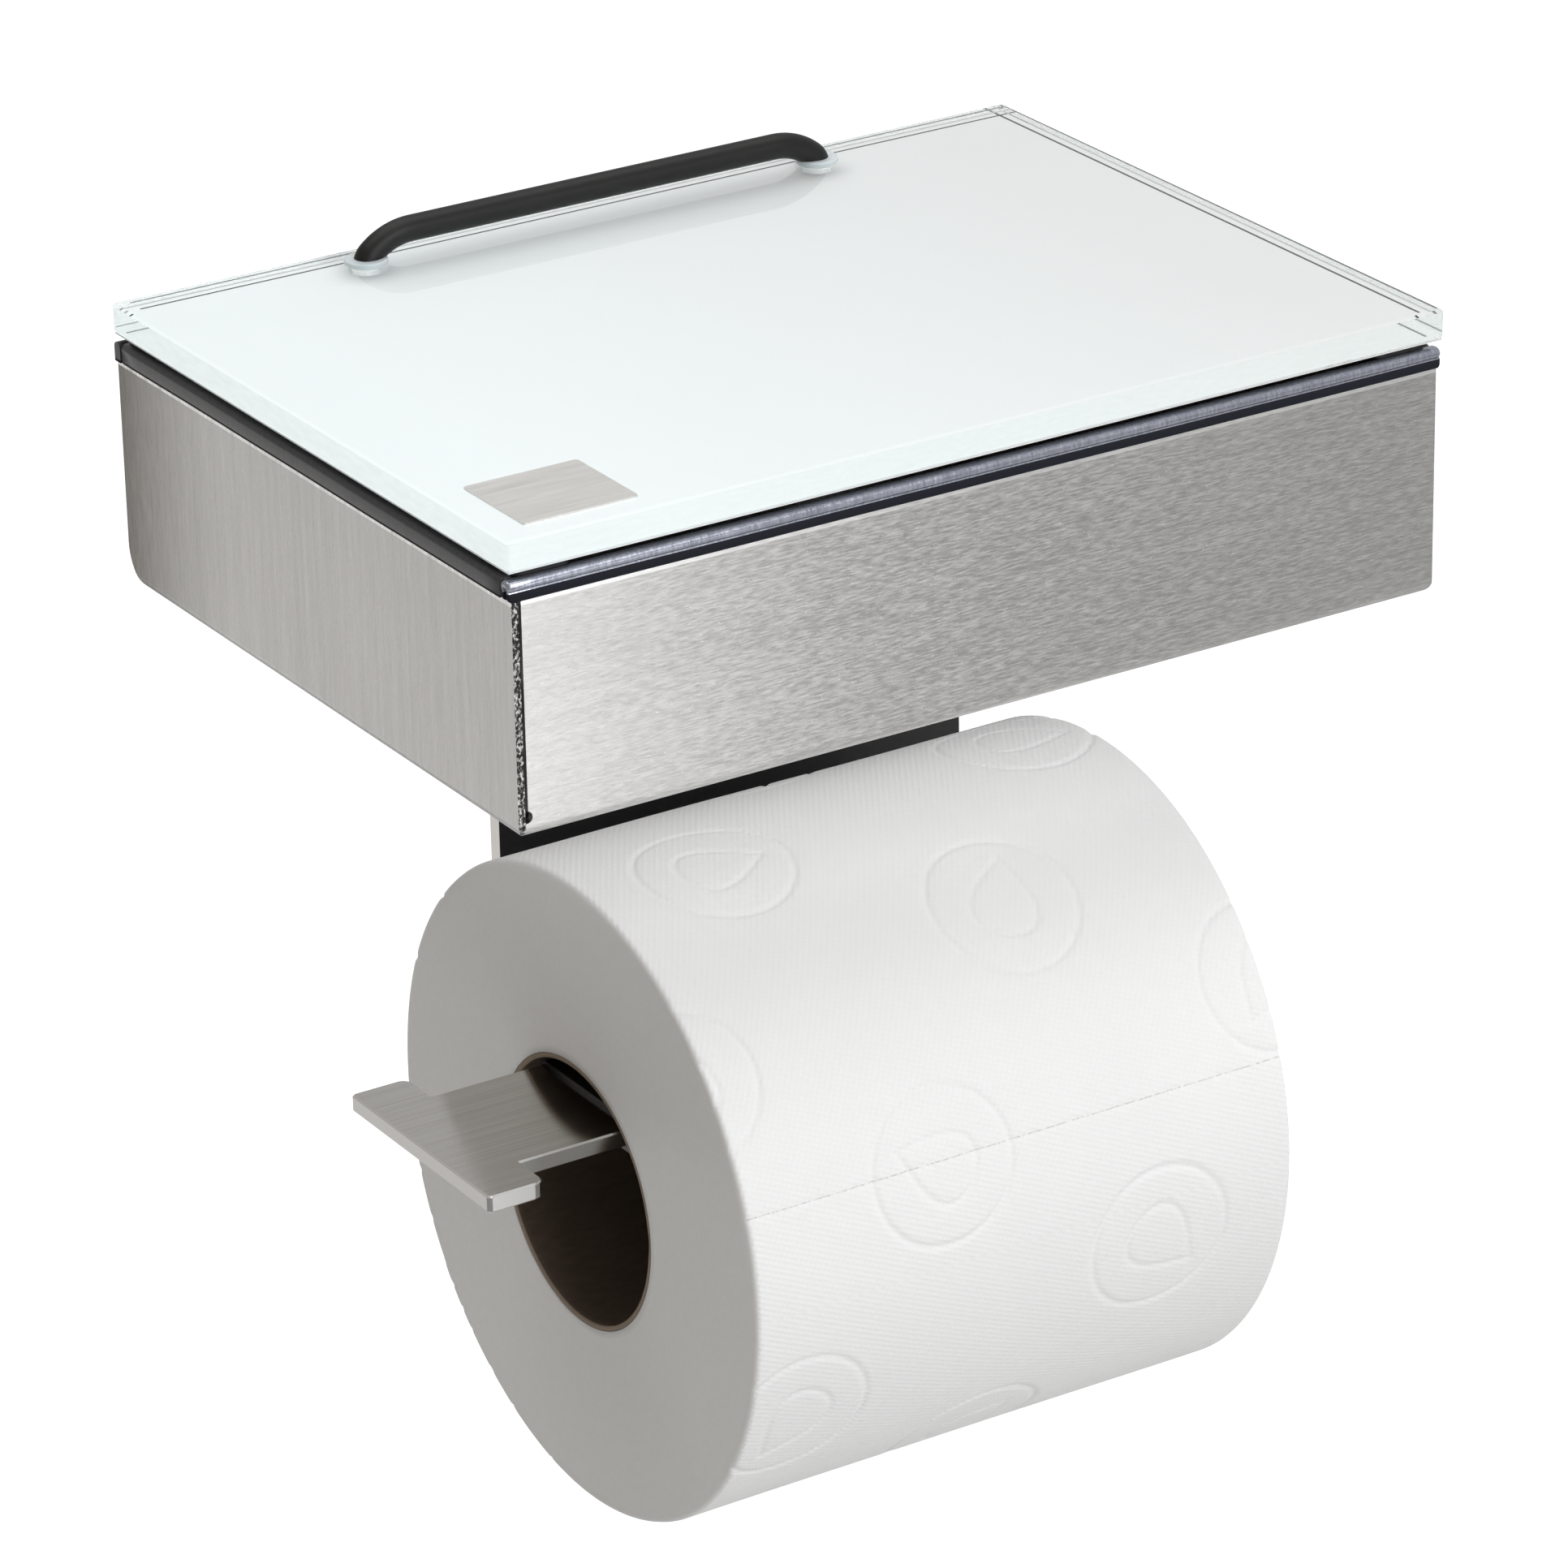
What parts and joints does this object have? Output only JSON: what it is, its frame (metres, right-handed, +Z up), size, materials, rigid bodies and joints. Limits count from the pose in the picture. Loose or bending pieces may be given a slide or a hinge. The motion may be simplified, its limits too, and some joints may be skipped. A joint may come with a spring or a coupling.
{
  "type": "toilet roll holder",
  "caption": "Wall-mounted toilet roll holder: a folded steel box with a lift-off glass lid and bow handle, above a flat T-ended arm that carries a toilet roll.",
  "frame": {"origin": "on the wall face of the box's back panel, midway between its two wall holes", "axes": "+Z up, +Y into the wall, so the front of the box faces -Y; +X to the right as seen from the front"},
  "size_m": [0.1736, 0.131, 0.2044],
  "materials": {
    "box_steel": "brushed stainless steel",
    "arm_steel": "brushed stainless steel with polished edges",
    "trim_rubber": "smooth black rubber",
    "lid_glass": "clear polished glass",
    "white_coat": "white lacquer film on the underside of the glass",
    "pad_silicone": "black silicone",
    "emblem_metal": "satin, blank",
    "handle_black": "satin black",
    "washer_plastic": "translucent white plastic",
    "hanger_black": "black powder coat",
    "fastener_steel": "plain stainless steel",
    "sleeve_plastic": "black plastic",
    "paper": "embossed white tissue",
    "cardboard": "brown cardboard"
  },
  "bodies": {
    "holder": {"box_shell": "box_steel", "rim_trim_front": "trim_rubber", "rim_trim_back": "trim_rubber", "rim_trim_left": "trim_rubber", "rim_trim_right": "trim_rubber", "hanger_plate": "hanger_black", "hanger_screws": "fastener_steel", "hanger_nuts": "fastener_steel", "roll_arm": "arm_steel", "arm_screws": "fastener_steel", "arm_nuts": "fastener_steel", "arm_sleeve": "sleeve_plastic"},
    "lid": {"lid_glass": "lid_glass", "lid_coat": "white_coat", "lid_pads": "pad_silicone", "lid_guides": "pad_silicone", "emblem_plate": "emblem_metal", "lid_handle": "handle_black", "handle_washers_upper": "washer_plastic", "handle_washers_lower": "washer_plastic", "handle_nuts": "fastener_steel"},
    "roll": {"paper_roll": "paper", "roll_core": "cardboard"}
  },
  "joints": [
    {"name": "lid_lift", "type": "slide", "parent": "holder", "child": "lid", "axis": [0, 0, 1], "range_m": [0, 0.06]},
    {"name": "roll_spin", "type": "hinge", "parent": "holder", "child": "roll", "pos_m": [0.00355, -0.0744, -0.1182], "axis": [1, 0, 0], "continuous": true}
  ]
}
